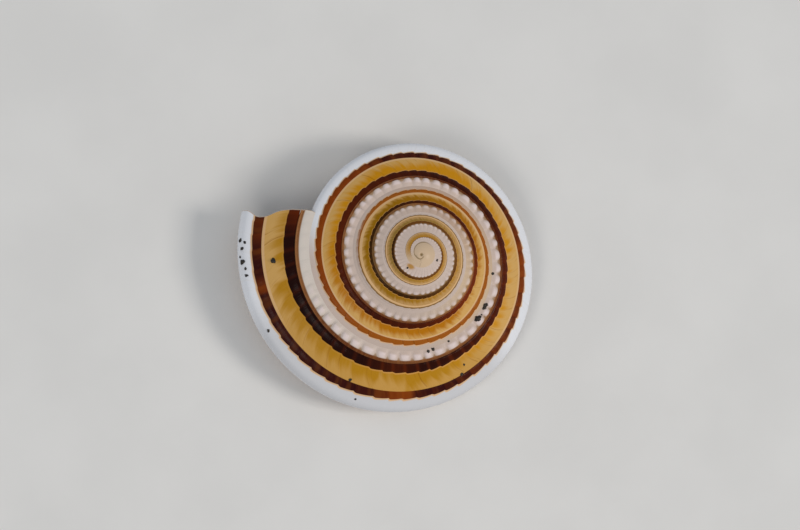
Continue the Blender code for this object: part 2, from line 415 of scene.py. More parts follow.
def relief(line, across):
    """Height of the carving above the plain cross-section, in keel radii."""
    across = band_place(line, across)
    tiles, scallops = tile_shape(line, TILE_SPACING), tile_shape(line, SCALLOP_SPACING)
    crenulations = tile_shape(line, CRENULATION_SPACING)
    beads = (
        bead_shape(line, across)
        - 0.32 * (ridge(across, 0.6985, 0.0022) + ridge(across, 0.7098, 0.0022))
        + 0.25 * ridge(across, 0.7042, 0.004)
    )
    bands = (
        arch(across, 0.710, 0.764) * (0.62 + 0.38 * tiles)
        + 0.35 * arch(across, 0.768, 0.876) * (0.6 + 0.4 * tiles)
        + 0.25 * ridge(across, 0.8755, 0.003)
        + 1.1 * arch(across, 0.880, 0.930) * (0.66 + 0.34 * scallops)
        - 0.45 * ridge(across, 0.933, 0.004)
        + 0.7 * arch(across, 0.935, 1.120)
    )
    cords = (
        0.85 * arch(across, 1.150, 1.225) * (0.6 + 0.4 * scallops)
        - 0.9 * ridge(across, 1.135, 0.012)
        - 0.3 * ridge(across, 1.237, 0.006)
        + 0.2 * (ridge(across, 1.262, 0.010) + ridge(across, 1.300, 0.012))
        + 0.30 * crenulations * hill(across, 1.430, 1.650, 0.10)
        - 0.95 * ridge(across, 1.652, 0.010)
        + 1.2 * arch(across, CORD_FOOT, 1.766) * (0.35 + 0.65 * crenulations)
        + 0.55 * arch(across, 1.790, 1.835)
    )
    carving = bpy.context.scene.sundial_carving
    lift = (carving.beads * beads + carving.bands * bands + carving.cords * cords) / KEEL_RADIUS
    return lift * ease(line, FIRST_LINE, FIRST_LINE + CARVING_LINES)


def section(across):
    """Radius, height and trail of the plain skin, and the way it faces."""
    step = 0.002
    radius, height, trail = curve(SECTION, across).T
    run, rise = (curve(SECTION, across + step) - curve(SECTION, across - step))[:, :2].T
    length = np.hypot(run, rise)
    return radius, height, np.radians(trail), -rise / length, run / length


def trail_degrees(across):
    """How far a growth line trails the suture at a place across."""
    return curve(SECTION, np.clip(across, BEAD_FOOT, WALL_TOP))[:, 2]


def carved_points(line, across):
    """Points of the carved skin: a row for each place across, a column for each growth line."""
    line, across = np.atleast_2d(line), np.atleast_1d(across)[:, None]
    radius, height, trail, outward, upward = (part[:, None] for part in section(across[:, 0]))
    lift = relief(line, across)
    angle = line_angle(line) - trail
    radius = radius + ridge(angle, BULGE_ANGLE, BULGE_SPAN) * from_knots(KEEL_BULGE, across)
    return place(angle, radius + outward * lift, height + upward * lift)


def skin_points(line, across):
    """Points of the skin, which joins the whorl before at the suture and the umbilical seam."""
    points = carved_points(line, np.clip(across, BEAD_FOOT, WALL_TOP))
    older_keel = carved_points(line - LINES_PER_TURN + KEEL_LAG, KEEL_TOP)
    older_cord = carved_points(line - LINES_PER_TURN, CORD_FOOT)
    across = np.atleast_1d(across)[:, None]
    to_keel = np.clip((BEAD_FOOT - across) / (BEAD_FOOT - SUTURE), 0.0, None)[..., None]
    to_cord = np.clip((across - WALL_TOP) / (SEAM - WALL_TOP), 0.0, None)[..., None]
    points = points + to_keel * (older_keel - points) + to_cord * (older_cord - points)
    points[..., 2] -= CREASE_DEPTH * ridge(across, SUTURE, CREASE_WIDTH) * larval_suture(line)
    return points


def larval_suture(line):
    """The groove round the larval shell, 1 deep: it dies away in three quarters of a turn."""
    back = line - FIRST_LINE
    return ease(back, 40.0, 80.0) * ease(back, 350.0, 190.0)


# --- Meshes ---


def lean(angle, direction):
    """Rotation that tips an upright axis by an angle towards a direction in the XY plane."""
    return Matrix.Rotation(angle, 4, Vector((-math.sin(direction), math.cos(direction), 0.0)))


def rest_turn():
    """Rotation that leans the shell's axis as the shell lies on its base."""
    return lean(REST_LEAN, REST_DIRECTION)


def turned(directions):
    """Directions of the shell's own frame, as the shell lies on its base."""
    return directions @ np.array(rest_turn().to_3x3()).T


def rest_place():
    """Matrix that lays the shell, built round its axis in keel radii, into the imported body's box."""
    lines = np.arange(FOURTH_LINE, 1.0)
    rows = np.concatenate((KEEL_ROWS, BASE_ROWS, WALL_ROWS))
    outside = turned(carved_points(lines, rows).reshape(-1, 3)) * KEEL_RADIUS
    low, high = outside.min(axis=0), outside.max(axis=0)
    shift = (np.array(CAD_LOW) + np.array(CAD_HIGH) - low - high) / 2.0
    shift[2] = CAD_LOW.z - low[2]
    return Matrix.Translation(shift) @ rest_turn() @ Matrix.Scale(KEEL_RADIUS, 4)


def grid_faces(rows, columns):
    """Quads of a grid whose vertices are numbered row by row."""
    corner = np.arange(rows - 1)[:, None] * columns + np.arange(columns - 1)[None, :]
    return (corner.reshape(-1, 1) + np.array((0, 1, columns + 1, columns))).tolist()


def grid_normals(points):
    """Outward directions of a grid of points."""
    normals = np.cross(np.gradient(points, axis=1), np.gradient(points, axis=0))
    return normals / np.maximum(np.linalg.norm(normals, axis=-1, keepdims=True), NEARLY_ZERO)


def tube_faces(loops, count):
    """Faces of a tube of closed loops, each of so many vertices, that ends in one last vertex."""
    faces = []
    for near in range(0, loops * count, count):
        for k in range(count):
            after = near + (k + 1) % count
            is_last = near == (loops - 1) * count
            far = (near + count,) if is_last else (near + count + k, after + count)
            faces.append((near + k, *far, after))
    return faces


def add_object(name, points, faces, maker, marks=None, normals=None, from_above=False):
    """Add a mesh piece from points in the shell's own frame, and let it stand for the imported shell."""
    matrix = np.array(rest_place())
    points = points @ matrix[:3, :3].T + matrix[:3, 3]
    mesh = bpy.data.meshes.new(name)
    mesh.from_pydata(points.tolist(), [], faces)
    for mark, values in (marks or {}).items():
        attribute = mesh.attributes.new(mark, "FLOAT", "POINT")
        attribute.data.foreach_set("value", np.broadcast_to(values, len(points)).astype(np.float32))
    if from_above:
        flat = points[:, :2] - points[:, :2].min(axis=0)
        flat = UV_MARGIN + (1.0 - 2.0 * UV_MARGIN) * flat / flat.max()
        corners = np.empty(len(mesh.loops), np.int32)
        mesh.loops.foreach_get("vertex_index", corners)
        mesh.uv_layers.new(name="OFBake").data.foreach_set("uv", flat[corners].ravel())
    mesh.shade_smooth()
    mesh.update()
    if normals is not None:
        mesh.normals_split_custom_set_from_vertices(turned(normals).tolist())
    mesh.materials.append(shared_material(maker))
    piece = bpy.data.objects.new(name, mesh)
    bpy.context.scene.collection.objects.link(piece)
    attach(piece, BODY)
    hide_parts(NODE)


def skin_marks(line, across):
    """Values that the markings are painted by, at each point of a grid of the skin."""
    line, across = line[None, :], across[:, None]
    turn = line / LINES_PER_TURN
    age = turn - trail_degrees(across[:, 0])[:, None] / 360.0
    band = band_place(line, across)
    reach = bead_reach(line, across)
    outer_notch = 0.014 * scallop(line, SCALLOP_SPACING) * hill(band, 0.892, 0.966, 0.020)
    inner_notch = 0.012 * scallop(line, TILE_SPACING) * hill(band, 0.735, 0.790, 0.018)
    shallow = 1.0 - 0.3 * ease(turn, -0.45, -0.30) - 0.45 * ease(turn, -0.14, -0.09)
    inner_tiles, outer_tiles = count_along(line, TILE_SPACING), count_along(line, SCALLOP_SPACING)
    tiles = np.where(across < 0.872, inner_tiles, outer_tiles) % 1.0
    marks = {
        "band": band + shallow * (outer_notch + inner_notch),
        "turn": turn,
        "line": line * DEGREES_PER_LINE,
        "bead": bead_shape(line, across),
        # Where the olive brown and painted shade between the beads is laid
        "gap": ease(reach, 0.82, 1.17) * ease(turn, -0.11, -0.17) * ease(across, 0.640, 0.686),
        "tile": np.sin(math.pi * tiles) ** 0.6,
        "slope": tiles,
        "thread": from_knots(THREAD_DEPTH, age),
        "dark": from_knots(DARK_DEPTH, age),
        "amber": from_knots(AMBER_DEPTH, age),
        "plate": from_knots(PLATE_DEPTH, age),
        "crenulation": tile_shape(line, CRENULATION_SPACING),
        "stain": ridge(line, STAIN_LINE, 19.0) * ridge(across, STAIN_PLACE, 0.015),
        "crease": ridge(across, SUTURE, CREASE_WIDTH) * larval_suture(line),
    }
    return {mark: np.broadcast_to(values, band.shape).ravel() for mark, values in marks.items()}


def add_skin(name, lines, rows, maker, pad_low=False, pad_high=False):
    """Add a stretch of the skin. A padded edge takes its slope from beyond it, which hides the seam."""
    line = np.arange(lines[0] - 1.0, lines[1] + 2.0)
    across = np.concatenate(([rows[0] - PAD] * pad_low, rows, [rows[-1] + PAD] * pad_high))
    points = skin_points(line, across)
    inside = np.s_[int(pad_low) : len(across) - int(pad_high), 1:-1]
    normals = grid_normals(points)[inside].reshape(-1, 3)
    points = points[inside]
    faces = grid_faces(*points.shape[:2])
    marks = skin_marks(line[1:-1], rows)
    add_object(name, points.reshape(-1, 3), faces, maker, marks, normals, from_above=True)


# --- Materials ---


class Graph:
    """Adds linked nodes to one material, a call for each."""

    def __init__(self, name):
        self.material = bpy.data.materials.new(name)
        self.material.use_nodes = True
        self.tree = self.material.node_tree
        self.surface = self.tree.nodes["Principled BSDF"]
        self.colours = bpy.context.scene.sundial_colours

    def feed(self, socket, value):
        """Link a socket to another node's output, or set its own value."""
        if isinstance(value, bpy.types.NodeSocket):
            self.tree.links.new(value, socket)
        elif socket.type == "RGBA":
            socket.default_value = self.opaque(value)
        else:
            socket.default_value = value

    def opaque(self, shade):
        """A colour with its alpha. It may be given by its name in the settings."""
        return (*(getattr(self.colours, shade) if isinstance(shade, str) else shade), 1.0)

    def node(self, kind, inputs, **settings):
        """Add a node, with its inputs given by name or number."""
        node = self.tree.nodes.new("ShaderNode" + kind)
        for name, value in settings.items():
            setattr(node, name, value)
        for key, value in inputs.items():
            self.feed(node.inputs[key], value)
        return node

    def maths(self, operation, *values):
        return self.node("Math", dict(enumerate(values)), operation=operation).outputs[0]

    def between(self, value, low, high, from_value=0.0, to_value=1.0):
        """Ease from one value to the other as value goes from low to high."""
        inputs = {"Value": value, "From Min": low, "From Max": high}
        inputs |= {"To Min": from_value, "To Max": to_value}
        return self.node("MapRange", inputs, interpolation_type="SMOOTHSTEP").outputs["Result"]

    def within(self, value, low, high, soft):
        """1 from low to high, easing to 0 over soft outside them."""
        rise = self.between(value, low - soft, low)
        return self.maths("MULTIPLY", rise, self.between(value, high + soft, high))

    def mix(self, factor, first, second):
        """Mix two colours."""
        return self.node("Mix", {0: factor, 6: first, 7: second}, data_type="RGBA").outputs[2]

    def blend(self, first, second, value, low, high, share=1.0):
        """The first colour, going over to a share of the second as value goes from low to high."""
        return self.mix(self.between(value, low, high, 0.0, share), first, second)

    def noise(self, vector, scale, detail, roughness=0.5):
        inputs = {"Vector": vector, "Scale": scale, "Detail": detail, "Roughness": roughness}
        return self.node("TexNoise", inputs).outputs["Fac"]

    def cloud(self, scale, detail):
        """Even noise that is fixed to the piece."""
        return self.noise(self.node("NewGeometry", {}).outputs["Position"], scale, detail)

    def bump(self, height, strength, distance):
        inputs = {"Height": height, "Strength": strength, "Distance": distance}
        return self.node("Bump", inputs).outputs["Normal"]

    def finish(self, **sockets):
        """Feed the shader's own sockets and give the material."""
        for name, value in sockets.items():
            self.feed(self.surface.inputs[name.replace("_", " ")], value)
        return self.material


class SkinGraph(Graph):
    """Reads the skin's marks, and draws streaks out along the growth lines."""

    def __init__(self, name):
        super().__init__(name)
        self.band, self.turn, self.line = self.mark("band"), self.mark("turn"), self.mark("line")
        self.fine = self.streaks(0.9, 5.0, 3.0, 0.6)

    def mark(self, name):
        """A value stored on the mesh."""
        return self.node("Attribute", {}, attribute_name=name).outputs["Fac"]

    def streaks(self, degrees, across, detail=2.0, roughness=0.5):
        """Noise drawn out along the growth lines: so many degrees wide, and so many waves across."""
        at = {"X": self.maths("DIVIDE", self.line, degrees), "Y": self.maths("MULTIPLY", self.band, across)}
        return self.noise(self.node("CombineXYZ", at).outputs[0], 1.0, detail, roughness)

    def ages(self, *stages):
        """A band's colour as the shell grew: turns back from the lip and the colour there."""
        oldest = stages[0][0]
        inputs = {"Value": self.turn, "From Min": oldest, "From Max": 0.0}
        ramp = self.node("ValToRGB", {"Fac": self.node("MapRange", inputs).outputs["Result"]})
        elements = ramp.color_ramp.elements
        while len(elements) < len(stages):
            elements.new(0.5)
        for element, (when, shade) in zip(elements, stages):
            element.position = 1.0 - when / oldest
            element.color = self.opaque(shade)
        return ramp.outputs["Color"]

    def glaze(self, colour, streaks, smoothest, roughest, gloss):
        """Finish the skin in this colour, with streaks in its polish and fine growth lines."""
        return self.finish(
            Base_Color=colour,
            Roughness=self.between(streaks, 0.3, 0.7, smoothest, roughest),
            Normal=self.bump(self.fine, 0.35, 0.00004),
            Specular_IOR_Level=gloss,
        )


def dark_band(g, tile):
    """Dark brown band inside the amber one, cut into tiles by lighter seams."""
    early = g.ages(
        (-3.80, "amber_first"), (-3.58, "dark_first"), (-3.35, "dark_first"), (-3.12, "dark_olive"),
        (-3.00, "dark_olive"), (-2.85, "dark_first"), (-2.55, "dark_first"), (-2.28, "dark_olive"),
    )
    dark = g.mix(g.mark("dark"), "dark_light", "dark_deep")
    dark = g.blend(early, dark, g.turn, -1.98, -1.75)
    lightness = g.maths("MULTIPLY_ADD", g.within(g.turn, -0.52, -0.30, 0.08), 0.12, 0.11)
    seam = g.mix(lightness, dark, "dark_light")
    dark = g.blend(dark, seam, tile, 0.85, 0.25, 0.85)
    return g.blend(dark, seam, g.fine, 0.55, 0.80, 0.30)


def thread_line(g):
    """Brown spiral line between the beads and the dark band."""
    # On the older whorls the thread takes the olive brown that also fills the bead gaps
    pale = g.blend("bead_gap_olive_and_shade", "thread_pale", g.turn, -2.00, -1.75)
    return g.blend(g.mix(g.mark("thread"), pale, "thread"), pale, g.fine, 0.35, 0.75, 0.25)


def white_strip(g, medium):
    """White of the strip under the suture."""
    white = g.ages(
        (-2.6, "bead_white"), (-2.2, "older_white"), (-1.9, "older_white"), (-1.7, "tan_white"),
        (-1.5, "larval_white"), (-1.3, "older_white"), (-1.0, "bead_white"), (-0.3, "bead_white"),
        (-0.08, "lip_white"),
    )
    return g.blend(white, g.mix(0.35, white, "thread"), medium, 0.55, 0.85, 0.25)


def bead_row(g, white):
    """Beads on the white strip: crests lightened as a painted highlight, and olive brown wedges between
    them, darkened as painted shade.
    """
    # Painted highlight: the crests are lightened, more so on the later whorls
    painted_highlight = g.mix(g.between(g.turn, -1.6, -0.8, 0.45, 0.85), white, "bead_crest")
    highlighted_beads = g.blend(white, painted_highlight, g.mark("bead"), 0.25, 1.0)
    # Olive brown wedges between the beads, darkened as painted shade
    return g.blend(highlighted_beads, g.mix(0.8, white, "bead_gap_olive_and_shade"), g.mark("gap"), 0.15, 1.0)


def amber_band(g, medium, slope, dusky):
    """Broad amber band: deep inside and pale outwards, in flames that end at growth lines."""
    deep = g.ages(
        (-3.4, "amber_first"), (-3.1, "amber_early"), (-2.8, "amber_early"), (-2.5, "amber_first"),
        (-2.2, "amber_olive"), (-1.9, "amber_olive"), (-1.55, "amber_middle"), (-1.15, "amber_middle"),
        (-1.00, "amber_deep"), (-0.43, "amber_deep"), (-0.36, "amber_late"),
    )
    flame = g.maths("SUBTRACT", slope, 0.45)
    strength = g.maths("MULTIPLY_ADD", flame, g.between(g.turn, -0.95, -0.70, 0.24, 0.42), g.mark("amber"))
    strength = g.maths("ADD", strength, g.between(medium, 0.35, 0.65, -0.22, 0.22))
    strength = g.maths("ADD", strength, g.between(g.band, 0.765, 0.872, 0.25, -0.95))
    pale = g.blend("pale_first", "amber_pale", g.turn, -2.25, -1.95)
    pale = g.mix(g.maths("MULTIPLY", dusky, 0.40), pale, "amber_late")
    amber = g.blend(pale, deep, strength, -0.1, 1.1)
    lines = g.between(g.streaks(11.0, 2.5), 0.38, 0.52)
    lines = g.maths("MULTIPLY", g.between(slope, 0.14, 0.0), lines)
    lines = g.maths("MAXIMUM", lines, g.between(g.fine, 0.60, 0.76))
    return g.mix(g.maths("MULTIPLY", lines, 0.60), amber, "growth_line")


def outer_band(g, medium, tile, slope, outer, white):
    """Brown band outside the amber one, cut into tiles, and thin in the first whorls."""
    depth = g.maths("MULTIPLY_ADD", slope, -0.24, g.maths("ADD", g.mark("plate"), 0.10))
    plate = g.blend("plate_light", "plate_deep", depth, 0.0, 1.0)
    plate = g.blend("plate_middle", plate, g.turn, -1.30, -1.02)
    light = g.mix(0.30, plate, "plate_middle")
    plate = g.blend(plate, "dark_deep", tile, 0.40, 0.0, 0.4)
    plate = g.blend(plate, light, medium, 0.45, 0.70, 0.5)
    first = g.blend("plate_first", white, outer, *PLATE_RIM_FROM)
    return g.blend(first, plate, g.turn, -2.12, -1.90)


def white_keel(g, dusky, white):
    """White of the keel, like the white strip in the older whorls: lit bluer as painted light, greyed
    before the lip as painted shade.
    """
    keel = g.blend("keel_white_and_painted_light", "lip_white", g.fine, 0.50, 0.80, 0.35)
    # Painted shade: over the dusky stretch before the lip the keel goes grey
    keel = g.mix(dusky, keel, "keel_painted_shade")
    return g.blend(white, keel, g.turn, -1.06, -0.98)


def skin_material():
    """Glossy outer skin: spiral bands by place across the whorl, streaked along the growth lines."""
    g = SkinGraph("banded shell skin")
    band, tile, slope = g.band, g.mark("tile"), g.mark("slope")
    medium = g.streaks(3.2, 4.0)
    # Stretch before the lip where the keel is greyed as painted shade, and the pale amber and the cream
    # line go over to amber
    dusky = g.within(g.turn, -0.40, -0.14, 0.06)
    white, dark, thread = white_strip(g, medium), dark_band(g, tile), thread_line(g)
    amber = amber_band(g, medium, slope, dusky)
    edge = g.mix(g.between(g.turn, -0.30, -0.18, 0.55, 0.15), amber, "edge_line")
    peach = g.blend(white, "peach_line", g.turn, -2.12, -1.90)

    # Some bands lie a little further in or out for a stretch
    inner = g.maths("MULTIPLY_ADD", g.within(g.turn, -2.15, -1.85, 0.10), -0.009, band)
    cream = g.maths("MULTIPLY_ADD", g.within(g.turn, -1.95, -1.75, 0.45), 0.0145, band)
    outer = g.maths("SUBTRACT", band, g.between(g.turn, -2.00, -1.85, 0.0075, 0.0))
    plate = outer_band(g, medium, tile, slope, outer, white)

    colour = g.blend(white, bead_row(g, white), band, *BEADS_FROM)
    colour = g.blend(colour, thread, band, *THREAD_FROM)
    tan = g.mix(g.between(g.turn, -0.55, -0.10, 0.35, 0.10), thread, dark)
    colour = g.mix(g.within(band, *TAN_LINE, 0.003), colour, tan)
    for place_across, edges, next_band in (
        (inner, DARK_FROM, dark),
        (band, EDGE_LINE_FROM, edge),
        (band, AMBER_FROM, amber),
        (cream, CREAM_FROM, g.mix(dusky, "cream_line", amber)),
        (outer, PLATE_FROM, plate),
        (band, PEACH_FROM, peach),
        (band, KEEL_FROM, white_keel(g, dusky, white)),
    ):
        colour = g.blend(colour, next_band, place_across, *edges)

    colour = g.blend("larval_white", colour, g.turn, *LARVAL_UNTIL)
    colour = g.blend(colour, "amber_first", g.mark("stain"), 0.15, 0.75, 0.9)
    colour = g.blend(colour, "crease", g.mark("crease"), 0.1, 0.9, 0.85)
    return g.glaze(colour, medium, smoothest=0.22, roughest=0.32, gloss=0.07)


def base_material():
    """Fawn underside with growth streaks, brown spots on its outer cord and brown lines."""
    g = SkinGraph("shell base")
    band = g.band
    medium = g.streaks(3.0, 1.0)
    fawn = g.blend("base_fawn", "base_pale", medium, 0.30, 0.70)
    spots = g.between(g.mark("tile"), 0.75, 0.35, 0.0, 0.8)
    cord = g.mix(spots, "bead_white", "plate_middle")
    # The keel's white, brightened and tinted blue as painted light, reaches onto the base
    colour = g.blend("keel_white_and_painted_light", fawn, band, 1.115, 1.145)
    colour = g.mix(g.within(band, 1.155, 1.220, 0.008), colour, cord)
    colour = g.mix(g.within(band, 1.232, 1.240, 0.004), colour, "plate_middle")
    colour = g.blend(colour, fawn, band, 1.245, 1.260)
    colour = g.blend(colour, "growth_line", g.fine, 0.58, 0.75, 0.35)
    colour = g.mix(g.within(band, 1.615, 1.655, 0.012), colour, "plate_middle")
    knobs = g.blend("amber_pale", "bead_white", g.mark("crenulation"), 0.0, 0.5)
    colour = g.blend(colour, knobs, band, 1.660, 1.680)
    wall = g.blend("base_fawn", "amber_pale", medium, 0.4, 0.6)
    colour = g.blend(colour, wall, band, 1.765, 1.785)
    return g.glaze(colour, medium, smoothest=0.34, roughest=0.46, gloss=0.35)


def lining_material():
    """Porcelain lining of the aperture: cream, faintly clouded."""
    g = Graph("porcelain lining")
    cloud = g.cloud(900.0, 3.0)
    return g.finish(
        Base_Color=g.blend("larval_white", "bead_white", cloud, 0.35, 0.65),
        Roughness=g.between(cloud, 0.3, 0.7, 0.20, 0.30),
        Normal=g.bump(cloud, 0.15, 0.00005),
        Specular_IOR_Level=0.5,
        Coat_Weight=0.3,
        Coat_Roughness=0.1,
    )


def sand_material():
    """Dark volcanic sand."""
    g = Graph("dark sand")
    speckle = g.cloud(9000.0, 3.0)
    return g.finish(
        Base_Color=g.blend(SAND_DARK, SAND_LIGHT, speckle, 0.4, 0.7),
        Roughness=g.between(speckle, 0.3, 0.7, 0.45, 0.75),
        Normal=g.bump(speckle, 0.6, 0.00003),
    )


def floor_material():
    """Pale matt board with a faint mottle."""
    g = Graph("pale board")
    mottle = g.cloud(120.0, 4.0)
    darker = tuple(0.95 * part for part in g.colours.floor)
    colour = g.blend("floor", darker, mottle, 0.3, 0.7)
    return g.finish(Base_Color=colour, Roughness=0.8, Normal=g.bump(mottle, 0.1, 0.0002))


def shared_material(maker):
    """The material that this maker gives, made once and shared."""
    found = bpy.data.materials.get(maker.__name__)
    if found is None:
        found = maker()
        found.name = maker.__name__
    return found


# --- Settings ---


def length(name, description, default):
    """A length that a user may change."""
    limits = {"min": 0.0, "subtype": "DISTANCE", "unit": "LENGTH", "precision": 6}
    return FloatProperty(name=name, description=description, default=default, **limits)


def colour(name, *default):
    """A colour that a user may change."""
    limits = {"min": 0.0, "max": 1.0, "size": 3, "subtype": "COLOR"}
    description = "Colour of the " + name[0].lower() + name[1:]
    return FloatVectorProperty(name=name, description=description, default=default, **limits)


class SUNDIAL_PG_carving(bpy.types.PropertyGroup):
    """Sizes of the carving, as it is on the last whorl."""

    beads: length("Bead height", "Height of the white beads under the suture", 0.00018)
    bands: length("Band height", "Height of the rounded spiral bands", 0.00006)
    cords: length("Cord height", "Height of the cords on the base and in the umbilicus", 0.00011)
    lip: length("Lip thickness", "Thickness of the lip's edge", 0.00009)


class SUNDIAL_PG_colours(bpy.types.PropertyGroup):
    """Colours of the shell, from its first whorls to its last, and of the floor."""

    larval_white: colour("Larval shell", 0.66, 0.49, 0.335)
    bead_white: colour("White strip under the suture", 0.66, 0.53, 0.465)
    older_white: colour("White strip, third whorl", 0.585, 0.47, 0.41)
    tan_white: colour("White strip where it is tan", 0.54, 0.38, 0.29)
    lip_white: colour("White strip close to the lip", 0.72, 0.65, 0.59)
    # Bead crests: the strip's white lightened as a painted highlight
    bead_crest: colour("Bead crests", 0.82, 0.69, 0.68)
    # Gaps between the beads: olive brown, darkened as painted shade
    bead_gap_olive_and_shade: colour("Gaps between the beads", 0.30, 0.165, 0.06)
    crease: colour("Pit and suture of the larval shell", 0.22, 0.14, 0.045)
    # Keel: its own white, brightened and tinted blue as painted light
    keel_white_and_painted_light: colour("Keel", 0.83, 0.84, 0.89)
    # Keel before the lip: grey painted shade over that stretch
    keel_painted_shade: colour("Keel before the lip", 0.66, 0.66, 0.69)
    thread: colour("Thread between beads and dark band", 0.12, 0.02, 0.003)
    thread_pale: colour("Thread where it is pale", 0.50, 0.23, 0.085)
    dark_first: colour("Dark band, first whorls", 0.17, 0.062, 0.008)
    dark_olive: colour("Dark band, third whorl", 0.045, 0.017, 0.002)
    dark_light: colour("Dark band at its reddest", 0.25, 0.035, 0.002)
    dark_deep: colour("Dark band at its darkest", 0.012, 0.002, 0.0015)
    pale_first: colour("Amber band at its palest, first whorls", 0.55, 0.32, 0.12)
    amber_first: colour("Amber band, first whorls", 0.50, 0.24, 0.03)
    amber_early: colour("Amber band, second whorl", 0.31, 0.18, 0.036)
    amber_olive: colour("Amber band, third whorl", 0.34, 0.155, 0.002)
    amber_middle: colour("Amber band, middle whorls", 0.50, 0.18, 0.005)
    amber_deep: colour("Amber band at its deepest", 0.64, 0.275, 0.006)
    amber_late: colour("Amber band before the lip", 0.50, 0.235, 0.012)
    amber_pale: colour("Amber band at its palest", 0.70, 0.41, 0.13)
    growth_line: colour("Growth lines", 0.32, 0.115, 0.004)
    plate_first: colour("Outer band, first whorls", 0.26, 0.14, 0.045)
    plate_middle: colour("Outer band, middle whorls", 0.37, 0.105, 0.010)
    plate_light: colour("Outer band at its lightest", 0.26, 0.048, 0.003)
    plate_deep: colour("Outer band at its darkest", 0.038, 0.005, 0.004)
    cream_line: colour("Line outside the amber band", 0.75, 0.47, 0.23)
    edge_line: colour("Line outside the dark band", 0.82, 0.42, 0.14)
    peach_line: colour("Line outside the outer band", 0.78, 0.50, 0.28)
    base_fawn: colour("Base", 0.58, 0.41, 0.25)
    base_pale: colour("Growth streaks of the base", 0.68, 0.53, 0.37)
    floor: colour("Floor", 0.82, 0.81, 0.80)


# --- Pieces ---


class SUNDIAL_OT_larval_shell(bpy.types.Operator):
    """Add the smooth larval shell: a low dome with an off-centre pit."""

    bl_idname = "sundial.larval_shell"
    bl_label = "Larval shell"

    def execute(self, context):
        sutures = np.arange(FIRST_LINE, FIRST_LINE + LINES_PER_TURN - KEEL_LAG + 1.0)
        rim = skin_points(sutures, SUTURE)[0]
        start = skin_points(FIRST_LINE, WHORL_ROWS)[:, 0]
        rim = np.concatenate((rim, start[-2:0:-1]))
        shares = np.linspace(1.0, 0.0, LARVAL_RINGS + 1)[:-1, None]
        top = np.array((0.0, 0.0, -BLUNT_TIP))
        points = top + shares[..., None] * (rim - top)
        points[..., 2] = top[2] + shares**2 * (rim[:, 2] - top[2])
        x, y = points[..., 0], points[..., 1]
        points[..., 2] -= PIT_DEPTH * larval_pit(x, y) + CREASE_DEPTH * larval_groove(x, y)
        edge = np.zeros(points.shape[:2])
        edge[:, : len(sutures)] = ridge(shares, 1.0, 0.02) * larval_suture(sutures)
        points = np.concatenate((points.reshape(-1, 3), top[None]))
        x, y = points[:, 0], points[:, 1]
        crease = larval_pit(x, y) + 0.7 * larval_groove(x, y) + np.append(edge.ravel(), 0.0)
        faces = tube_faces(LARVAL_RINGS, len(rim))
        marks = {**LARVAL_MARKS, "crease": crease}
        add_object("larval_shell", points, faces, skin_material, marks, from_above=True)
        return {"FINISHED"}


def larval_pit(x, y):
    """1 in the pit where the larval shell turns over, 0 outside it."""
    return ridge(np.hypot(x - PIT_X, y - PIT_Y), 0.0, PIT_WIDTH)


def larval_groove(x, y):
    """The groove that winds from the pit to the first suture, 1 deep."""
    around = np.degrees(np.arctan2(y, -x)) % 360.0
    path = from_knots(LARVAL_GROOVE, around)
    return ridge(np.hypot(x, y), path, 0.0055) * hill(around, 255.0, 360.0, 25.0)


class SUNDIAL_OT_whorls(bpy.types.Operator):
    """Add the tops of the whorls, from the larval shell to the lip, in four stretches."""

    bl_idname = "sundial.whorls"
    bl_label = "Whorls"

    def execute(self, context):
        add_skin("first_whorls", (FIRST_LINE, SECOND_LINE), WHORL_ROWS, skin_material)
        add_skin("second_whorl", (SECOND_LINE, THIRD_LINE), WHORL_ROWS, skin_material)
        add_skin("third_whorl", (THIRD_LINE, FOURTH_LINE), WHORL_ROWS, skin_material)
        rows = np.concatenate((WHORL_ROWS, KEEL_ROWS))
        add_skin("last_whorl", (FOURTH_LINE, 0), rows, skin_material, pad_high=True)
        return {"FINISHED"}


class SUNDIAL_OT_base(bpy.types.Operator):
    """Add the base of the last whorl, from the keel edge to the umbilical cord."""

    bl_idname = "sundial.base"
    bl_label = "Base"

    def execute(self, context):
        add_skin("base", (FOURTH_LINE, 0), BASE_ROWS, base_material, pad_low=True, pad_high=True)
        return {"FINISHED"}


class SUNDIAL_OT_umbilicus(bpy.types.Operator):
    """Add the open umbilicus: the knobbed cord and wall of every whorl, up to the axis."""

    bl_idname = "sundial.umbilicus"
    bl_label = "Umbilicus"

    def execute(self, context):
        add_skin("umbilicus", (UMBILICUS_LINE, 0), UMBILICUS_ROWS, base_material, pad_low=True)
        add_umbilicus_top()
        return {"FINISHED"}


def add_umbilicus_top():
    """Close the umbilicus above its first whorl, with a cone up to the axis."""
    seams = np.arange(UMBILICUS_LINE, UMBILICUS_LINE + LINES_PER_TURN + 1.0, UMBILICUS_STEP)
    rim = skin_points(seams, SEAM)[0]
    start = skin_points(UMBILICUS_LINE, UMBILICUS_ROWS)[:, 0]
    rim = np.concatenate((rim, start[1:-1]))
    top = np.array((0.0, 0.0, UMBILICUS_TOP))
    shares = np.linspace(1.0, 0.0, UMBILICUS_RINGS + 1)[:-1]
    points = np.concatenate([top + share * (rim - top) for share in shares] + [top[None]])
    faces = [face[::-1] for face in tube_faces(UMBILICUS_RINGS, len(rim))]
    band, line = UMBILICUS_TOP_MARKS
    marks = {"band": band, "line": line + np.degrees(np.arctan2(points[:, 1], points[:, 0]))}
    add_object("umbilicus_top", points, faces, base_material, marks)


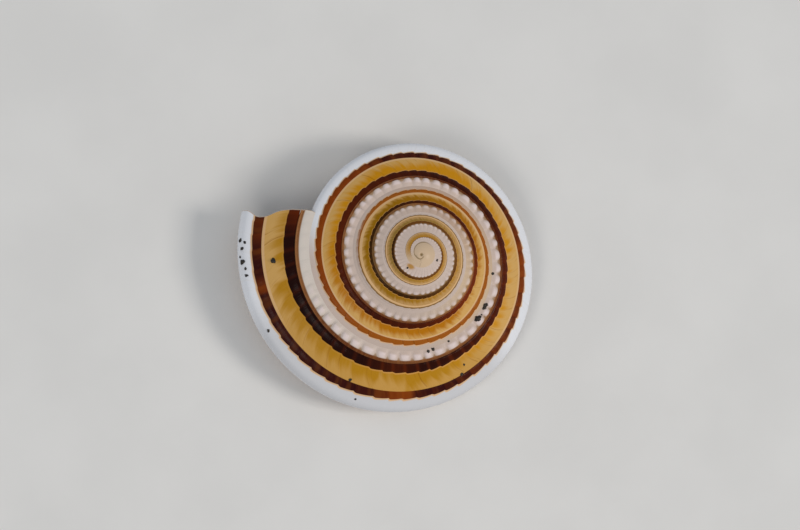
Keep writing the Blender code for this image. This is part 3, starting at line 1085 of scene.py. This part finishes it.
class SUNDIAL_OT_aperture(bpy.types.Operator):
    """Add the thin rounded lip and the porcelain-lined hollow that winds back behind it."""

    bl_idname = "sundial.aperture"
    bl_label = "Aperture"

    def execute(self, context):
        lip = context.scene.sundial_carving.lip / KEEL_RADIUS
        loops = []
        for turn in np.radians(LIP_ROUNDING):
            loops.append(hollow_loop(LIP_REACH * lip * math.sin(turn), lip * (1.0 - math.cos(turn)) / 2.0))
        for back in range(HOLLOW_STEP, HOLLOW_LINES + 1, HOLLOW_STEP):
            depth = lip + (LINING_DEPTH - lip) * ease(back, 0.0, LINING_LINES)
            loops.append(hollow_loop(-float(back), depth, back))
        end = loops[-1].mean(axis=0)
        faces = tube_faces(len(loops), len(loops[0]))
        add_object("aperture", np.concatenate((*loops, end[None])), faces, lining_material)
        return {"FINISHED"}


def hollow_loop(line, depth, back=0):
    """One loop of the hollow: the skin sunk by a depth towards the bore, and far back the bore itself."""
    rows = np.concatenate((WHORL_ROWS, KEEL_ROWS, BASE_ROWS[1:], UMBILICUS_ROWS[1:]))
    skin = skin_points(line, rows)[:, 0]
    radius, height = curve(BORE, rows).T
    bore = place(line_angle(line) - np.radians(trail_degrees(rows)), radius, height)
    old_rows = np.concatenate((BASE_ROWS[::-1], KEEL_ROWS[-2::-1]))
    old_skin = skin_points(line - LINES_PER_TURN + KEEL_LAG, old_rows)[:, 0]
    radius, height = curve(BORE_OVER_OLD_BASE, old_rows).T
    old_bore = place(line_angle(line), radius, height)
    skin, bore = np.concatenate((skin, old_skin)), np.concatenate((bore, old_bore))
    thickness = np.linalg.norm(bore - skin, axis=1, keepdims=True)
    share = np.clip(depth / np.maximum(thickness, NEARLY_ZERO), 0.0, 1.0)
    share = share + (1.0 - share) * ease(back, 0.0, BORE_LINES)
    return skin + share * (bore - skin)


class SUNDIAL_OT_sand_grains(bpy.types.Operator):
    """Add the few grains of dark sand that stick to the shell."""

    bl_idname = "sundial.sand_grains"
    bl_label = "Sand grains"

    def execute(self, context):
        points, faces = [], []
        for number, (turns, across, size) in enumerate(SAND_GRAINS):
            line = trail_degrees(across) / DEGREES_PER_LINE - turns * LINES_PER_TURN
            spot = skin_points(line + np.array((-1.0, 0.0, 1.0)), across + np.array((-0.003, 0.0, 0.003)))
            radius = 0.5 * size * MILLIMETRE / KEEL_RADIUS
            corners, sides = grain_points(number, radius, grid_normals(spot)[1, 1])
            faces += [[len(points) + corner for corner in side] for side in sides]
            points += [spot[1, 1] + corner for corner in corners]
        add_object("sand_grains", np.array(points), faces, sand_material)
        return {"FINISHED"}


def grain_points(number, radius, facing):
    """Points and faces of one rough grain that lies on a surface facing this way."""
    ball = bmesh.new()
    bmesh.ops.create_icosphere(ball, subdivisions=2, radius=1.0)
    points = np.array([vertex.co for vertex in ball.verts])
    faces = [[vertex.index for vertex in face.verts] for face in ball.faces]
    ball.free()
    wave = np.array((2.1, 3.3, 2.7)) + 0.37 * np.array((number % 5, number % 3, number % 7))
    dents = 0.22 * np.sin(points @ wave + number)
    dents = dents + 0.12 * np.sin(points[:, ::-1] @ wave * 1.9 + 2.0 * number)
    stretch = radius * np.array((1.0, 0.72 + 0.06 * (number % 4), 0.5))
    turn = Vector(facing).to_track_quat("Z", "X").to_matrix() @ Matrix.Rotation(1.7 * number, 3, "Z")
    return points * (1.0 + dents[:, None]) * stretch @ np.array(turn).T, faces


class SUNDIAL_OT_stage(bpy.types.Operator):
    """Add the pale floor, the soft lights and the camera."""

    bl_idname = "sundial.stage"
    bl_label = "Stage"

    def execute(self, context):
        scene = context.scene
        bpy.ops.mesh.primitive_plane_add(size=FLOOR_SIZE)
        floor = context.object
        floor.name = "floor"
        floor.data.materials.append(shared_material(floor_material))

        world = bpy.data.worlds.new("studio")
        world.use_nodes = True
        backdrop = world.node_tree.nodes["Background"]
        backdrop.inputs["Color"].default_value = (*STUDIO_COLOUR, 1.0)
        backdrop.inputs["Strength"].default_value = STUDIO_STRENGTH
        scene.world = world
        add_softbox("key", azimuth=-15.0, elevation=42.0, distance=0.50, size=0.14, power=0.93)
        add_softbox("fill", azimuth=220.0, elevation=50.0, distance=0.50, size=0.20, power=0.50)

        turn = rest_turn() @ lean(-VIEW_LEAN, VIEW_DIRECTION)
        right, up, back = (turn.to_3x3() @ axis for axis in Matrix.Identity(3))
        apex = rest_place().translation
        data = bpy.data.cameras.new("camera")
        data.sensor_width = SENSOR_WIDTH
        data.lens = SENSOR_WIDTH * VIEW_DISTANCE / VIEW_WIDTH
        data.clip_start = 0.01
        camera = bpy.data.objects.new("camera", data)
        spot = apex - right * VIEW_OFFSET[0] - up * VIEW_OFFSET[1] + back * VIEW_DISTANCE
        camera.matrix_world = Matrix.Translation(spot) @ turn
        scene.collection.objects.link(camera)
        scene.camera = camera
        scene.view_settings.view_transform = "Standard"
        return {"FINISHED"}


def add_softbox(name, azimuth, elevation, distance, size, power):
    """A square soft light that faces the shell, in degrees from +X towards +Y and up."""
    azimuth, elevation = math.radians(azimuth), math.radians(elevation)
    level = math.cos(elevation)
    away = Vector((math.cos(azimuth) * level, math.sin(azimuth) * level, math.sin(elevation)))
    data = bpy.data.lights.new(name, "AREA")
    data.size = size
    data.energy = power
    data.color = LAMP_COLOUR
    light = bpy.data.objects.new(name, data)
    facing = away.to_track_quat("Z", "Y").to_matrix().to_4x4()
    light.matrix_world = Matrix.Translation(away * distance) @ facing
    bpy.context.scene.collection.objects.link(light)


OPERATORS = (
    SUNDIAL_OT_larval_shell,
    SUNDIAL_OT_whorls,
    SUNDIAL_OT_base,
    SUNDIAL_OT_umbilicus,
    SUNDIAL_OT_aperture,
    SUNDIAL_OT_sand_grains,
    SUNDIAL_OT_stage,
)


class SUNDIAL_PT_sidebar(bpy.types.Panel):
    """Lists the shell's pieces, sizes and colours."""

    bl_idname = "SUNDIAL_PT_sidebar"
    bl_label = "Sundial Shell"
    bl_space_type = "VIEW_3D"
    bl_region_type = "UI"
    bl_category = "Shell"

    def draw(self, context):
        layout = self.layout
        for operator in OPERATORS:
            layout.operator(operator.bl_idname)
        for settings in (context.scene.sundial_carving, context.scene.sundial_colours):
            box = layout.box()
            for name in settings.bl_rna.properties.keys():
                if name not in {"rna_type", "name"}:
                    box.prop(settings, name)


CLASSES = (SUNDIAL_PG_carving, SUNDIAL_PG_colours, *OPERATORS, SUNDIAL_PT_sidebar)


def register():
    for item in CLASSES:
        bpy.utils.register_class(item)
    bpy.types.Scene.sundial_carving = PointerProperty(type=SUNDIAL_PG_carving)
    bpy.types.Scene.sundial_colours = PointerProperty(type=SUNDIAL_PG_colours)


def unregister():
    del bpy.types.Scene.sundial_colours
    del bpy.types.Scene.sundial_carving
    for item in reversed(CLASSES):
        bpy.utils.unregister_class(item)


def main():
    register()
    for operator in OPERATORS:
        group, name = operator.bl_idname.split(".")
        getattr(getattr(bpy.ops, group), name)()


if __name__ == "__main__":
    main()
